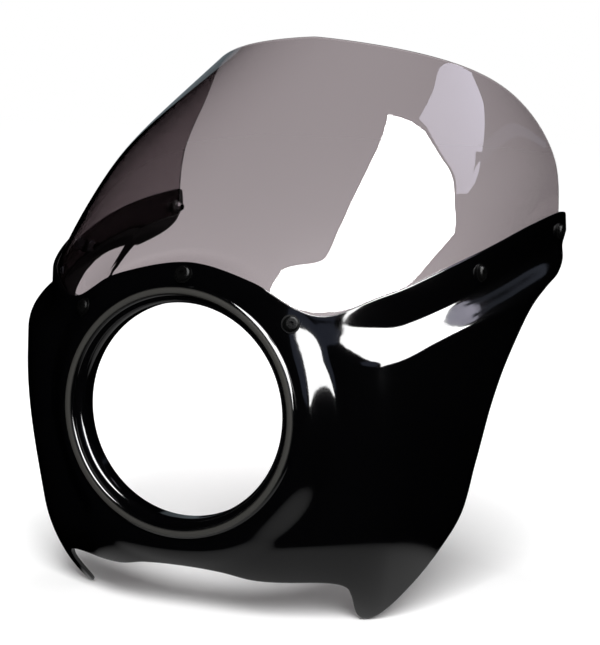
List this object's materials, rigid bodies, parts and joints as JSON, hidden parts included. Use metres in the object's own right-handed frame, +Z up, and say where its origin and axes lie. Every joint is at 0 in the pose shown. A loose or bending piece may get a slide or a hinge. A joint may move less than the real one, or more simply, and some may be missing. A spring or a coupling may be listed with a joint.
{
  "type": "motorcycle headlight fairing",
  "caption": "Moulded quarter fairing with a round headlight tunnel, swept side wings and a bolted smoked windshield.",
  "frame": {"origin": "centre of the headlight tunnel, in the middle of its straight bore", "axes": "+X to the right as seen from the front, +Y to the rear along the bore, +Z up"},
  "size_m": [0.406, 0.388, 0.4492],
  "materials": {
    "shell_plastic": "deep gloss black",
    "smoked_screen": "clear light smoke sheet",
    "black_screw": "satin black",
    "nylon_washer": "smooth black",
    "rubber_washer": "matt black",
    "steel_nut": "plated"
  },
  "bodies": {
    "root": {"fairing_shell": "shell_plastic", "windshield": "smoked_screen", "screw_centre": "black_screw", "screw_left_inner": "black_screw", "screw_right_inner": "black_screw", "screw_left_middle": "black_screw", "screw_right_middle": "black_screw", "screw_left_tip": "black_screw", "screw_right_tip": "black_screw", "washer_centre": "nylon_washer", "washer_left_inner": "nylon_washer", "washer_right_inner": "nylon_washer", "washer_left_middle": "nylon_washer", "washer_right_middle": "nylon_washer", "washer_left_tip": "nylon_washer", "washer_right_tip": "nylon_washer", "rubber_centre": "rubber_washer", "rubber_left_inner": "rubber_washer", "rubber_right_inner": "rubber_washer", "rubber_left_middle": "rubber_washer", "rubber_right_middle": "rubber_washer", "rubber_left_tip": "rubber_washer", "rubber_right_tip": "rubber_washer", "nut_centre": "steel_nut", "nut_left_inner": "steel_nut", "nut_right_inner": "steel_nut", "nut_left_middle": "steel_nut", "nut_right_middle": "steel_nut", "nut_left_tip": "steel_nut", "nut_right_tip": "steel_nut"}
  },
  "joints": []
}
